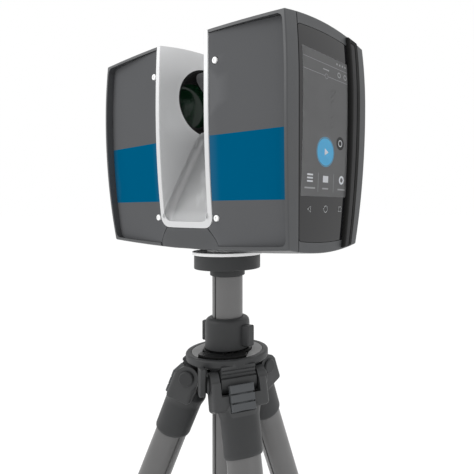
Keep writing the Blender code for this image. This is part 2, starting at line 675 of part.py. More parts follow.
def leg_tubes(prefix, leg):
    """Upper tube, twist lock, lower tube and foot, from the hinge down."""
    ring(prefix + "_upper_tube", TUBE_R - 0.0012, TUBE_R, -TUBE_END, -0.0303, leg, "tube", 20)
    lock = empty(prefix + "_lock_twist", leg, (0, 0, -TUBE_END))
    bore = LOWER_R + GAP
    grip = [(bore, -GAP), (TUBE_R + GAP, -GAP), (TUBE_R + GAP, 0.0120), (0.0166, 0.0120), (0.0174, 0.0105),
            (0.0174, -0.0240), (0.0159, -0.0300), (bore, -0.0300)]
    turned(prefix + "_twist_lock", grip, lock, "rubber", True, 20)
    slide = empty(prefix + "_extension", leg)
    ring(prefix + "_lower_tube", LOWER_R - 0.0012, LOWER_R, -LOWER_END, -LOWER_TOP, slide, "tube", 16)
    foot(prefix + "_foot", slide)


def foot(name, slide):
    """A rubber foot with a stem in the tube and a round end, flat where it meets the floor."""
    floor = (CASE_HEIGHT + HINGE_Z) / math.cos(LEG_TILT)
    middle = -floor + (FOOT_R - FOOT_FLAT) / math.cos(LEG_TILT)
    stem = LOWER_R - 0.0015
    top = -LOWER_END - GAP
    profile = [(0, top + 0.015), (stem, top + 0.015), (stem, top), (FOOT_R, top)]
    profile += [(r, z) for r, z in arc((0, middle), FOOT_R, 0, -90, 4)]
    profile[-1] = (0, middle - FOOT_R)
    obj = turned(name, profile, slide, "rubber", steps=16)
    cut(obj, bpy.data.objects["floor_cutter"])
    return obj


def legs(root):
    box("floor_cutter", (-0.4, -0.4, -CASE_HEIGHT - 0.1), (0.4, 0.4, -CASE_HEIGHT), root)
    for number in range(3):
        leg = leg_frame(number, root)
        prefix = f"leg_{number + 1}"
        leg_casting(prefix + "_casting", leg)
        angle_tab(prefix + "_angle_tab", leg)
        leg_tubes(prefix, leg)


# ---- assembly ----------------------------------------------------------------
def casing(case):
    liner_box("liner_clearance", GAP, case)
    outline("bridge_clearance", seam_points(GAP), -0.06, 0.06, case)
    left_shell(case)
    right_shell(case)
    for side in (-1, 1):
        for front in (-1, 1):
            panel(side, front, case)
    bridge_cover(-1, case)
    bridge_cover(1, case)
    channel_liner(case)
    channel_ridge(case)
    base_housing(case)
    display_unit(case)
    battery_side(case)
    optics(case)
    mirror_unit(case)


def finish_meshes():
    for obj in PARTS.objects:
        if obj.type == "MESH":
            obj.data.shade_smooth()
            obj.data.set_sharp_from_angle(angle=math.radians(35))


def stand_on_origin(root):
    """Move the object so that the origin lies on the floor under the middle of its box."""
    bpy.context.view_layer.update()
    graph = bpy.context.evaluated_depsgraph_get()
    low = Vector((math.inf,) * 3)
    high = Vector((-math.inf,) * 3)
    for obj in PARTS.objects:
        if obj.type != "MESH":
            continue
        ready = obj.evaluated_get(graph)
        for vert in ready.data.vertices:
            place = ready.matrix_world @ vert.co
            low = Vector(map(min, low, place))
            high = Vector(map(max, high, place))
    root.location.x -= (low.x + high.x) / 2
    root.location.y -= (low.y + high.y) / 2
    root.location.z -= low.z
    bpy.context.view_layer.update()


def main():
    root = empty("tripod", None, (0, 0, CASE_HEIGHT))
    column = empty("column_slide", root)
    collar = empty("collar_twist", root)
    case = empty("pan_axis", column)
    casing(case)
    turret(column)
    centre_column(column)
    column_collar(collar)
    spider(root)
    for number in range(3):
        hinge_pin(number, root)
    legs(root)
    finish_meshes()
    stand_on_origin(root)


main()
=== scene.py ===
"""Looks of the laser scanner and its tripod: finer meshes, materials, stage, light and camera.

Metres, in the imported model's frame.  Casing parts are drawn as flat-sided pieces about the pan
axis, counted from the casing's base, and then crowned like the CAD casing.  Leg parts are drawn
hanging down from their hinge.  dress() moves a finished piece into place and gives it its body.
"""
import json
import math

import bmesh
import bpy
from mathutils import Matrix, Vector


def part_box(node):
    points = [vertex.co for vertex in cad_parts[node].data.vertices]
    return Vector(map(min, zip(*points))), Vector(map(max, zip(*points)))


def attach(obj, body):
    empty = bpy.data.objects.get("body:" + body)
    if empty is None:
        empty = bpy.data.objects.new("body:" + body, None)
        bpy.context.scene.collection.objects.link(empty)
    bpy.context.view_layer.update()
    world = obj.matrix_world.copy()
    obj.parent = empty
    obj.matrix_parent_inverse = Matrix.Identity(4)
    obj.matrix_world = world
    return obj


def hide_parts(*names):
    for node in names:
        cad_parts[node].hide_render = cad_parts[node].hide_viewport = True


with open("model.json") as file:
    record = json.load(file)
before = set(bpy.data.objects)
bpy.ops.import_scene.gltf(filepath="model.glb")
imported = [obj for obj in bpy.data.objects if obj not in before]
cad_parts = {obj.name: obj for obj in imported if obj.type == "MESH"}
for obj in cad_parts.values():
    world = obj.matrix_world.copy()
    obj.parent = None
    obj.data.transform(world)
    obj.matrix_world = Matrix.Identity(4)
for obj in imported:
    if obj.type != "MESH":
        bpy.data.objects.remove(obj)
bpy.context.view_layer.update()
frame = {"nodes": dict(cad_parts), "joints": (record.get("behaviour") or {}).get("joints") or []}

# ---- driving dimensions -------------------------------------------------------
GAP = 0.0003
CASE_X = 0.115              # half length, half depth and height of the casing
CASE_Y = 0.0515
CASE_Z = 0.183
WAIST_Z = 0.1275            # its widest height
SIDE_FALL = (0.00319, 0.00965)   # how far the ends draw in, 100 mm below and above
FRONT_FALL = (0.00487, 0.0022)
TOP_DOME = (0.00372, 0.00543)
BASE_DOME = (0.00351, 0.00471)
RIM_ROUND = 0.0011          # rounding of the casing's outer edges
WALL = 0.003
PANEL = 0.0025
PANEL_TILT = 0.0058
PANEL_ROOT = 0.024
LINER_X = 0.034
CHANNEL_X = 0.029
LINER_Z = 0.0183
FLOOR_Z = 0.024
RIDGE_Z = 0.104
MIRROR_Z = 0.137
MIRROR_R = 0.0278
MIRROR_TIP = 0.027
SLANT_STRETCH = 1.37        # the mirror is a circle drawn out this much along the 45 degree face
LENS_R = 0.031
BRIDGE_TOP = 0.027
BRIDGE_FOOT = 0.0385
SEAM = 0.0006               # width of the dark seams round the bridge covers
UPPER_SCREW_X = {-1: -0.0375, 1: 0.0410}   # by side: left tower, right tower
UPPER_SCREW_Z = 0.1552
LOWER_SCREW_X = 0.0385
LOWER_SCREW_Z = 0.0270
SCREW_R = 0.0026
SCREW_HALF = 0.0010         # half the height of a screw's cap
SOCKET_R = 0.0013
COUNTERBORE_R = 0.0033
COUNTERBORE_DEPTH = 0.0009
WINDOW_Y = 0.0386
WINDOW_Z = (0.0085, 0.1736)
GRIP_Y = 0.0243
GRIP_X = 0.118
DOOR_Y = 0.033
DOOR_Z = (0.018, 0.108)
BUTTON_X = -0.1095
BUTTON_Z = 0.140
BAND_Z = (0.0437, 0.0944)   # the coloured band round the front and rear
FILLET = 0.006              # between the channel's ridge and its walls

COLUMN_R = 0.0135
COLUMN_Z = (-0.300, -0.0225)
COLUMN_GROOVES = (-94, 86)  # degrees round the column
TUBE_GROOVES = (138, 182)   # degrees round a leg's upper tube
FLANGE_R = 0.0294
COLLAR_R = 0.01975
WING_TURN = math.radians(8)
SPIDER_TOP = -0.0895
RIM_R = 0.0365
DISC_R = 0.0312
HUB_R = 0.0160
HUB_Z = -0.1285
ARM_Y = 0.0150              # half width of the spider's arms, between the legs' forks
ARM_R = 0.0098
SEAT_R = 0.0309             # the lock seat's reach at its front, and half its width there
SEAT_X = 0.0205
SEAT_TURN = math.radians(-54)
HINGE_Z = -0.109
HINGE_RADIUS = 0.0295
HINGE_PIN_R = 0.004
HEAD_R = 0.0102
FORK_Y = (0.0163, 0.0235)   # where a fork's plates start and end beside the arm
SLEEVE_R = 0.0162
SLEEVE_END = 0.0585
TUBE_R = 0.0139
TUBE_END = 0.449
LOWER_R = 0.0120
LOWER_TOP = 0.159
LOWER_END = 0.501
CAMERA_PLACE = (0.317823, -0.289613, 0.035847)   # from the middle of the casing's base
CAMERA_LOOK = (-0.5859, 0.8104, 0)
CAMERA_SHIFT = (-0.184, -0.0553)
LENS_MM = 35.16
LIGHT_AIM = 0.09            # the lights face this high on the casing

SPINDLE_TOP = 0.0150        # top of the base plate's spindle above the casing's base
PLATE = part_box("base_plate")
BASE = Vector(((PLATE[0].x + PLATE[1].x) / 2, (PLATE[0].y + PLATE[1].y) / 2, PLATE[1].z - SPINDLE_TOP))
CASE = Matrix.Translation(BASE)


# ---- mesh helpers ------------------------------------------------------------
def add(name, bm):
    """Turn a bmesh into an object whose faces point outwards."""
    bmesh.ops.recalc_face_normals(bm, faces=bm.faces)
    mesh = bpy.data.meshes.new(name)
    bm.to_mesh(mesh)
    bm.free()
    obj = bpy.data.objects.new(name, mesh)
    bpy.context.scene.collection.objects.link(obj)
    return obj


def settle(obj):
    """Apply an object's modifiers."""
    ready = obj.evaluated_get(bpy.context.evaluated_depsgraph_get())
    mesh = bpy.data.meshes.new_from_object(ready)
    old = obj.data
    obj.modifiers.clear()
    obj.data = mesh
    bpy.data.meshes.remove(old)
    mesh.name = obj.name
    return obj


def cut(obj, tool, operation="DIFFERENCE"):
    """Cut a tool from an object, or join it, and throw the tool away."""
    modifier = obj.modifiers.new("cut", "BOOLEAN")
    modifier.operation = operation
    modifier.solver = "EXACT"
    modifier.object = tool
    settle(obj)
    bpy.data.meshes.remove(tool.data)
    return obj


def soften(obj, width, steps=3, angle=40):
    """Round an object's sharp edges."""
    modifier = obj.modifiers.new("soften", "BEVEL")
    modifier.width = width
    modifier.segments = steps
    modifier.limit_method = "ANGLE"
    modifier.angle_limit = math.radians(angle)
    return settle(obj)


def box(name, low, high, bevel=0.0, along=None, keep=None, steps=5):
    """A box from corner to corner; bevel rounds its edges, or those along one axis."""
    bm = bmesh.new()
    bmesh.ops.create_cube(bm, size=1.0)
    low = Vector(low)
    high = Vector(high)
    bmesh.ops.scale(bm, vec=high - low, verts=bm.verts)
    bmesh.ops.translate(bm, vec=(low + high) / 2, verts=bm.verts)
    chosen = []
    for edge in bm.edges:
        run = (edge.verts[1].co - edge.verts[0].co).normalized()
        middle = (edge.verts[0].co + edge.verts[1].co) / 2
        if along is not None and abs(run["xyz".index(along)]) < 0.5:
            continue
        if keep is None or keep(middle):
            chosen.append(edge)
    if bevel:
        bmesh.ops.bevel(bm, geom=chosen, offset=bevel, segments=steps, affect="EDGES", profile=0.5,
                        clamp_overlap=True)
    return add(name, bm)


def turned(name, profile, closed=False, steps=64, axis="z", location=(0, 0, 0)):
    """Turn a profile of (radius, height) points; a radius of 0 is a point on the axis."""
    bm = bmesh.new()
    rows = []
    for radius, height in profile:
        count = steps if radius > 1e-7 else 1
        row = []
        for step in range(count):
            angle = math.tau * step / steps
            row.append(bm.verts.new((radius * math.cos(angle), radius * math.sin(angle), height)))
        rows.append(row)
    pairs = list(zip(rows, rows[1:]))
    if closed:
        pairs.append((rows[-1], rows[0]))
    for upper, lower in pairs:
        for step in range(steps):
            after = (step + 1) % steps
            ends = [upper[step % len(upper)], upper[after % len(upper)],
                    lower[after % len(lower)], lower[step % len(lower)]]
            corners = list(dict.fromkeys(ends))
            if len(corners) > 2:
                bm.faces.new(corners)
    turn = Matrix.Rotation(math.radians(90), 4, "Y") if axis == "x" else Matrix.Identity(4)
    if axis == "y":
        turn = Matrix.Rotation(math.radians(-90), 4, "X")
    bmesh.ops.transform(bm, matrix=Matrix.Translation(location) @ turn, verts=bm.verts)
    return add(name, bm)


def rod(name, radius, start, end, axis="z", location=(0, 0, 0), steps=64):
    """A solid cylinder from start to end along an axis."""
    return turned(name, [(0, end), (radius, end), (radius, start), (0, start)], False, steps, axis, location)


def prism(name, points, low, high):
    """An outline in x and z given thickness from low to high in y."""
    bm = bmesh.new()
    sides = []
    for depth in (low, high):
        sides.append([bm.verts.new((x, depth, z)) for x, z in points])
    for verts in sides:
        bm.faces.new(verts)
    count = len(points)
    for step in range(count):
        after = (step + 1) % count
        bm.faces.new((sides[0][step], sides[0][after], sides[1][after], sides[1][step]))
    return add(name, bm)


def sheet(name, rows, thickness):
    """A grid of points skinned and given thickness below its face."""
    bm = bmesh.new()
    made = [[bm.verts.new(point) for point in row] for row in rows]
    for upper, lower in zip(made, made[1:]):
        for step in range(len(upper) - 1):
            bm.faces.new((upper[step], upper[step + 1], lower[step + 1], lower[step]))
    bmesh.ops.solidify(bm, geom=bm.faces[:], thickness=thickness)
    return add(name, bm)


def arc(centre, radius, start, end, steps):
    """Points on a circle, from one angle to another in degrees."""
    points = []
    for step in range(steps + 1):
        angle = math.radians(start + (end - start) * step / steps)
        points.append((centre[0] + radius * math.cos(angle), centre[1] + radius * math.sin(angle)))
    return points


def rounded(profile, radius, steps=4):
    """An open profile whose inner corners are replaced by small arcs."""
    points = [profile[0]]
    for before, corner, after in zip(profile, profile[1:], profile[2:]):
        here = Vector(corner)
        back = Vector(before) - here
        ahead = Vector(after) - here
        reach = min(radius, back.length / 2.2, ahead.length / 2.2)
        first = here + back.normalized() * reach
        last = here + ahead.normalized() * reach
        for step in range(steps + 1):
            share = step / steps
            bend = first.lerp(here, share).lerp(here.lerp(last, share), share)
            points.append((bend.x, bend.y))
    points.append(profile[-1])
    return points


def join(name, parts):
    """Make one object of several."""
    bm = bmesh.new()
    for part in parts:
        bm.from_mesh(part.data)
        bpy.data.meshes.remove(part.data)
    mesh = bpy.data.meshes.new(name)
    bm.to_mesh(mesh)
    bm.free()
    obj = bpy.data.objects.new(name, mesh)
    bpy.context.scene.collection.objects.link(obj)
    return obj


def dress(obj, body, look, matrix=CASE, nodes=(), sharp=32):
    """Place a finished piece, shade it, hang it on its body's empty and hide the CAD parts it stands for."""
    obj.data.transform(matrix)
    obj.data.materials.clear()
    obj.data.materials.append(look)
    obj.data.shade_smooth()
    obj.data.set_sharp_from_angle(angle=math.radians(sharp))
    weigh = obj.modifiers.new("normals", "WEIGHTED_NORMAL")
    weigh.keep_sharp = True
    weigh.weight = 80
    settle(obj)
    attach(obj, body)
    if nodes:
        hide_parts(*nodes)
    return obj


# ---- materials ---------------------------------------------------------------
def link(tree, source, output, target, socket):
    """Join two material nodes."""
    tree.links.new(source.outputs[output], target.inputs[socket])


def noise(tree, where, scale, detail=3.0):
    """Cloudy noise in object coordinates."""
    node = tree.nodes.new("ShaderNodeTexNoise")
    node.inputs["Scale"].default_value = scale
    node.inputs["Detail"].default_value = detail
    link(tree, where, "Object", node, "Vector")
    return node


def span(tree, source, output, low, high, to_low, to_high):
    """Map one range of values onto another."""
    node = tree.nodes.new("ShaderNodeMapRange")
    for socket, value in (("From Min", low), ("From Max", high), ("To Min", to_low), ("To Max", to_high)):
        node.inputs[socket].default_value = value
    link(tree, source, output, node, "Value")
    return node


def blend(tree, factor, output, first, second, mode="MIX"):
    """Mix two colours; each is a colour or a (node, output) pair."""
    node = tree.nodes.new("ShaderNodeMix")
    node.data_type = "RGBA"
    node.blend_type = mode
    if factor is None:
        node.inputs[0].default_value = 1.0
    else:
        tree.links.new(factor.outputs[output], node.inputs[0])
    for socket, value in ((6, first), (7, second)):
        if isinstance(value[0], float):
            node.inputs[socket].default_value = (*value, 1.0)
        else:
            tree.links.new(value[0].outputs[value[1]], node.inputs[socket])
    return node, 2


def inside(tree, axes, output, low, high):
    """1 where one object coordinate lies between two values, else 0."""
    above = tree.nodes.new("ShaderNodeMath")
    above.operation = "GREATER_THAN"
    above.inputs[1].default_value = low
    below = tree.nodes.new("ShaderNodeMath")
    below.operation = "LESS_THAN"
    below.inputs[1].default_value = high
    both = tree.nodes.new("ShaderNodeMath")
    both.operation = "MULTIPLY"
    link(tree, axes, output, above, 0)
    link(tree, axes, output, below, 0)
    link(tree, above, 0, both, 0)
    link(tree, below, 0, both, 1)
    return both


def surface(name, colour, roughness, metallic=0.0, grain=900.0, bump=0.15, mottle=0.05, wear=0.25,
            spread=0.05, band=None, stretch=None, shine=0.5):
    """A finish with cloudy colour, fine grain, uneven gloss and slightly rubbed edges.

    band is (colour, low, high) in height; stretch scales the grain along each axis.
    """
    made = bpy.data.materials.new(name)
    made.use_nodes = True
    tree = made.node_tree
    shader = tree.nodes["Principled BSDF"]
    shader.inputs["Metallic"].default_value = metallic
    shader.inputs["Specular IOR Level"].default_value = shine
    where = tree.nodes.new("ShaderNodeTexCoord")
    base = colour
    if band:
        axes = tree.nodes.new("ShaderNodeSeparateXYZ")
        link(tree, where, "Object", axes, 0)
        base = blend(tree, inside(tree, axes, "Z", band[1], band[2]), 0, colour, band[0])
    clouds = span(tree, noise(tree, where, 22.0), "Fac", 0.3, 0.7, 0.0, 1.0)
    tint = blend(tree, clouds, 0, (1 - mottle,) * 3, (1 + mottle,) * 3)
    shaded = blend(tree, None, 0, base, tint, "MULTIPLY")
    shape = tree.nodes.new("ShaderNodeNewGeometry")
    rubbed = span(tree, shape, "Pointiness", 0.51, 0.60, 0.0, wear)
    bright = tuple(min(1.0, channel * 1.5 + 0.04) for channel in colour)
    worn = blend(tree, rubbed, 0, shaded, bright)
    tree.links.new(worn[0].outputs[worn[1]], shader.inputs["Base Color"])
    gloss = span(tree, noise(tree, where, 70.0), "Fac", 0.3, 0.7, roughness - spread, roughness + spread)
    link(tree, gloss, 0, shader, "Roughness")
    fine = noise(tree, where, grain, 2.0)
    if stretch:
        mapping = tree.nodes.new("ShaderNodeMapping")
        mapping.inputs["Scale"].default_value = stretch
        link(tree, where, "Object", mapping, "Vector")
        link(tree, mapping, 0, fine, "Vector")
    relief = tree.nodes.new("ShaderNodeBump")
    relief.inputs["Strength"].default_value = bump
    relief.inputs["Distance"].default_value = 0.0002
    link(tree, fine, "Fac", relief, "Height")
    link(tree, relief, 0, shader, "Normal")
    return made


BLUE = (0.0, 0.086, 0.180)
BAND = (BLUE, BASE.z + BAND_Z[0], BASE.z + BAND_Z[1])
PANEL_GREY = surface("panel_grey", (0.097, 0.099, 0.103), 0.55, mottle=0.012, spread=0.03, band=BAND,
                     shine=0.0)
CASING_GREY = surface("casing_grey", (0.054, 0.056, 0.059), 0.42, mottle=0.02, spread=0.03, shine=0.4)
BRIDGE_GREY = surface("bridge_grey", (0.078, 0.080, 0.083), 0.50, mottle=0.02, shine=0.1)
SATIN_SILVER = surface("satin_silver", (0.60, 0.605, 0.61), 0.36, 0.25, grain=1400.0, bump=0.05, mottle=0.02)
WHITE_METAL = surface("white_metal", (0.90, 0.90, 0.90), 0.38, 0.1, bump=0.05, mottle=0.02)
GLOSS_BLACK = surface("gloss_black", (0.006, 0.006, 0.006), 0.30, bump=0.03, wear=0.1, shine=0.12)
SOFT_BLACK = surface("soft_black", (0.008, 0.008, 0.008), 0.55, grain=1500.0, bump=0.35, wear=0.1, shine=0.1)
# Dark grey of the mirror rotor; the same grey also makes the grip strip's lighter strip, a painted highlight.
ROTOR_GREY_AND_PAINTED_SHEEN = surface("rotor_grey_and_painted_sheen", (0.030, 0.030, 0.031), 0.5, grain=1200.0, bump=0.25, shine=0.1)
RUBBER = surface("rubber", (0.020, 0.020, 0.021), 0.72, grain=700.0, bump=0.4, wear=0.1, shine=0.25)
STEEL = surface("steel", (0.58, 0.59, 0.60), 0.28, 1.0, grain=1600.0, bump=0.06, mottle=0.03)
MIRROR = surface("mirror_coating", (0.88, 0.89, 0.90), 0.05, 1.0, bump=0.0, mottle=0.01, wear=0.0,
                 spread=0.01)
BOARD = surface("circuit_board", (0.02, 0.14, 0.06), 0.5, grain=500.0, bump=0.3, mottle=0.2)
COPPER = surface("copper_winding", (0.60, 0.30, 0.14), 0.4, 1.0, grain=900.0, bump=0.5)
CASTING = surface("casting_black", (0.030, 0.031, 0.032), 0.50, grain=750.0, bump=0.3, shine=0.3)
TUBE = surface("tube_grey", (0.118, 0.117, 0.117), 0.38, 0.35, grain=500.0, bump=0.12, stretch=(1, 1, 0.05))
TAB = surface("tab_grey", (0.060, 0.064, 0.068), 0.5, bump=0.25, shine=0.3)
DISC = surface("disc_grey", (0.27, 0.27, 0.27), 0.6, bump=0.15, shine=0.3)
FRONT_GLASS = surface("front_glass", (0.006, 0.006, 0.007), 0.06, grain=200.0, bump=0.0, wear=0.0,
                      spread=0.015)
LENS_GLASS = surface("lens_glass", (0.003, 0.020, 0.008), 0.12, bump=0.0, wear=0.0, spread=0.01, shine=0.25)
SCREEN = surface("screen", (0.185, 0.187, 0.190), 0.08, bump=0.0, wear=0.0, spread=0.01, mottle=0.02)
SCREEN_DARK = surface("screen_dark", (0.045, 0.046, 0.047), 0.08, bump=0.0, wear=0.0, spread=0.01)
SCREEN_LINE = surface("screen_line", (0.48, 0.49, 0.50), 0.08, bump=0.0, wear=0.0, spread=0.01)
SCREEN_WHITE = surface("screen_white", (0.85, 0.87, 0.90), 0.08, bump=0.0, wear=0.0, spread=0.01, mottle=0.01)
SCREEN_BLUE = surface("screen_blue", (0.13, 0.56, 0.88), 0.08, bump=0.0, wear=0.0, spread=0.01, mottle=0.02)


# ---- the casing's shape -------------------------------------------------------
def crowned(point):
    """Where a point of the flat-sided casing lies on the crowned one."""
    x, y, z = point
    reach = (z - WAIST_Z) / 0.1
    upper = 1 if reach > 0 else 0
    across = (x / CASE_X) ** 2
    deep = (y / CASE_Y) ** 2
    top = max(z / CASE_Z, 0) ** 3
    base = max(1 - z / CASE_Z, 0) ** 3
    rise = base * (BASE_DOME[0] * across + BASE_DOME[1] * deep)
    drop = top * (TOP_DOME[0] * across + TOP_DOME[1] * deep)
    return Vector((x * (1 - SIDE_FALL[upper] * reach ** 2 / CASE_X),
                   y * (1 - FRONT_FALL[upper] * reach ** 2 / CASE_Y),
                   z + rise - drop))


def crown(obj, levels=24):
    """Give a flat-sided casing part the casing's curves."""
    bm = bmesh.new()
    bm.from_mesh(obj.data)
    planes = [((0, 0, CASE_Z * step / levels), (0, 0, 1)) for step in range(1, levels)]
    planes += [((0, CASE_Y * step / 6, 0), (0, 1, 0)) for step in range(-5, 6)]
    planes += [((CASE_X * step / 8, 0, 0), (1, 0, 0)) for step in range(-7, 8)]
    for place, normal in planes:
        everything = bm.verts[:] + bm.edges[:] + bm.faces[:]
        bmesh.ops.bisect_plane(bm, geom=everything, plane_co=place, plane_no=normal, dist=0.00002)
    for vert in bm.verts:
        vert.co = crowned(vert.co)
    bm.to_mesh(obj.data)
    bm.free()
    return obj


def seam_points(offset):
    """The bridge cover's outline: narrow at the top, flaring to the bottom."""
    steps = 16
    right = []
    for step in range(steps + 1):
        share = step / steps
        width = BRIDGE_TOP + (BRIDGE_FOOT - BRIDGE_TOP) * math.sin(share * math.pi / 2)
        right.append((width + offset, (LINER_Z - GAP + offset) * (1 - share) - offset * share))
    return right + [(-x, z) for x, z in reversed(right)]


def liner_form(offset):
    """The liner's outer form, grown by an offset."""
    reach = 0.02 * bool(offset)
    return box("liner_form", (-LINER_X - offset, -CASE_Y - reach, LINER_Z - offset),
               (LINER_X + offset, CASE_Y + reach, CASE_Z + 2 * reach), 0.010 + offset, "y",
               lambda middle: middle.z < 0.1, 8)


def bridge_form(offset):
    """A cutter through the casing in the bridge cover's outline."""
    return prism("bridge_form", seam_points(offset), -0.06, 0.06)


def both(side, near, far):
    """Low and high of a stretch on one side of the middle."""
    return (near, far) if side > 0 else (-far, -near)


# ---- casing shells, panels and liner -----------------------------------------
def shell(side):
    """One tower's outer shell: a skin round its end, top and bottom."""
    x_low, x_high = both(side, 0.020, CASE_X)
    obj = box("shell_look", (x_low, -CASE_Y, 0), (x_high, CASE_Y, CASE_Z), RIM_ROUND,
              keep=lambda middle: abs(middle.x) > 0.04)
    x_low, x_high = both(side, -0.010, CASE_X - WALL)
    cut(obj, box("hollow", (x_low, -0.06, WALL), (x_high, 0.06, CASE_Z - WALL), 0.005, "y"))
    x_low, x_high = both(side, -0.010, LINER_X + GAP)
    cut(obj, box("inner", (x_low, -0.06, -0.01), (x_high, 0.06, 0.2)))
    return cut(obj, bridge_form(SEAM))


def groove_ring(name, side, y_half, z_low, z_high, corner, width, depth):
    """A cutter for a rounded rectangular seam on one end of the casing."""
    x_low, x_high = both(side, CASE_X - depth, CASE_X + 0.02)
    obj = box(name, (x_low, -y_half, z_low), (x_high, y_half, z_high), corner, "x")
    inner_low, inner_high = both(side, CASE_X - 2 * depth, CASE_X + 0.03)
    return cut(obj, box("core", (inner_low, -y_half + width, z_low + width),
                        (inner_high, y_half - width, z_high - width), max(corner - width, 0.0002), "x"))


def right_shell():
    """The display tower's shell, with the window and the seam lines beside it."""
    obj = shell(1)
    cut(obj, box("window", (0.10, -WINDOW_Y, WINDOW_Z[0]), (0.13, WINDOW_Y, WINDOW_Z[1]), 0.0025, "x"))
    for side in (-1, 1):
        low, high = both(side, WINDOW_Y - 0.0003, WINDOW_Y + 0.0006)
        cut(obj, box("gap_line", (CASE_X - 0.0012, low, -0.01), (0.13, high, 0.2)))
    soften(obj, 0.0003, 2, 60)
    crown(obj, 32)
    dress(obj, "head", CASING_GREY, nodes=("right_shell",))


def left_shell():
    """The battery tower's shell, with the door opening, button hole and end seam."""
    obj = shell(-1)
    cut(obj, box("door_opening", (-0.13, -DOOR_Y, DOOR_Z[0]), (-0.10, DOOR_Y, DOOR_Z[1]), 0.0004, "x"))
    cut(obj, rod("button_hole", 0.0073, -0.13, -0.10, "x", (0, 0, BUTTON_Z)))
    cut(obj, groove_ring("end_seam", -1, 0.0405, 0.0105, 0.1600, 0.006, 0.0007, 0.0008))
    soften(obj, 0.0003, 2, 60)
    crown(obj, 32)
    dress(obj, "head", CASING_GREY, nodes=("left_shell",))


def panel_face(front, x):
    """How deep a panel's face lies at x, before crowning."""
    run = CASE_X - WALL - PANEL_ROOT
    return front * (CASE_Y - GAP - PANEL_TILT * (abs(x) - PANEL_ROOT) / run)


def lean_back(obj, front):
    """Lean a flat piece back with the panels, outwards from where they start to lean."""
    for vert in obj.data.vertices:
        if abs(vert.co.x) >= PANEL_ROOT:
            vert.co.y += panel_face(front, vert.co.x) - front * (CASE_Y - GAP)


def panel(side, front):
    """A front or rear panel of one tower, leaning back behind the shell's rim."""
    outer = CASE_X - WALL - GAP
    x_low, x_high = both(side, PANEL_ROOT, outer)
    y_low, y_high = both(front, CASE_Y - GAP - PANEL, CASE_Y - GAP)
    obj = box("panel_look", (x_low, y_low, WALL + GAP), (x_high, y_high, CASE_Z - WALL - GAP), 0.005, "y",
              lambda middle: abs(middle.x) > 0.05)
    lean_back(obj, front)
    cut(obj, liner_form(GAP))
    cut(obj, bridge_form(SEAM))
    for x, z in screw_places(side):
        low, high = both(front, -COUNTERBORE_DEPTH, 0.02)
        cut(obj, turned("counterbore", [(0, high), (COUNTERBORE_R, high), (COUNTERBORE_R, low), (0, low)],
                        axis="y", location=(x, panel_face(front, x), z)))
    soften(obj, 0.00035, 2, 50)
    crown(obj)
    name = f"{'left' if side < 0 else 'right'}_{'front' if front < 0 else 'rear'}_panel"
    dress(obj, "head", PANEL_GREY, nodes=(name,))


def screw_places(side):
    """Where the cap screws of one tower's panels sit."""
    return [(UPPER_SCREW_X[side], UPPER_SCREW_Z), (side * LOWER_SCREW_X, LOWER_SCREW_Z)]


def panel_screw(front, x, z):
    """A bright cap screw with a hexagon socket."""
    outline = [(0, SCREW_HALF), (SCREW_R, SCREW_HALF), (SCREW_R, -SCREW_HALF), (0, -SCREW_HALF)]
    cap = turned("panel_screw", rounded(outline, 0.0006), steps=40)
    cut(cap, turned("socket", [(0, 0.01), (SOCKET_R, 0.01), (SOCKET_R, 0.0003), (0, 0.0003)], steps=6))
    face = Matrix.Rotation(math.radians(-90 * front), 4, "X")
    place = crowned((x, panel_face(front, x), z))
    dress(cap, "head", WHITE_METAL, CASE @ Matrix.Translation(place) @ face)


def panel_screws():
    """Two screws on each panel."""
    for front in (-1, 1):
        for side in (-1, 1):
            for x, z in screw_places(side):
                panel_screw(front, x, z)


def bridge_cover(front):
    """The cover plate under the channel, flush with the panels beside it."""
    y_low, y_high = both(front, CASE_Y - GAP - PANEL, CASE_Y - GAP)
    obj = prism("bridge_look", seam_points(0), y_low, y_high)
    lean_back(obj, front)
    soften(obj, 0.0004, 2, 50)
    crown(obj)
    name = "front_bridge_cover" if front < 0 else "rear_bridge_cover"
    dress(obj, "head", BRIDGE_GREY, nodes=(name,))


def channel_liner():
    """The bright U between the towers, with a round opening in each wall."""
    obj = liner_form(0)
    cut(obj, box("channel_space", (-CHANNEL_X, -0.06, FLOOR_Z), (CHANNEL_X, 0.06, 0.2), 0.008, "y",
                 lambda middle: middle.z < 0.1, 8))
    soften(obj, 0.0006, 3, 50)
    crown(obj)
    cut(obj, rod("lens_opening", LENS_R, -0.04, -0.02, "x", (0, 0, MIRROR_Z), 96))
    cut(obj, rod("rotor_opening", MIRROR_R + 0.0006, 0.02, 0.04, "x", (0, 0, MIRROR_Z), 96))
    dress(obj, "head", SATIN_SILVER, nodes=("channel_liner",))


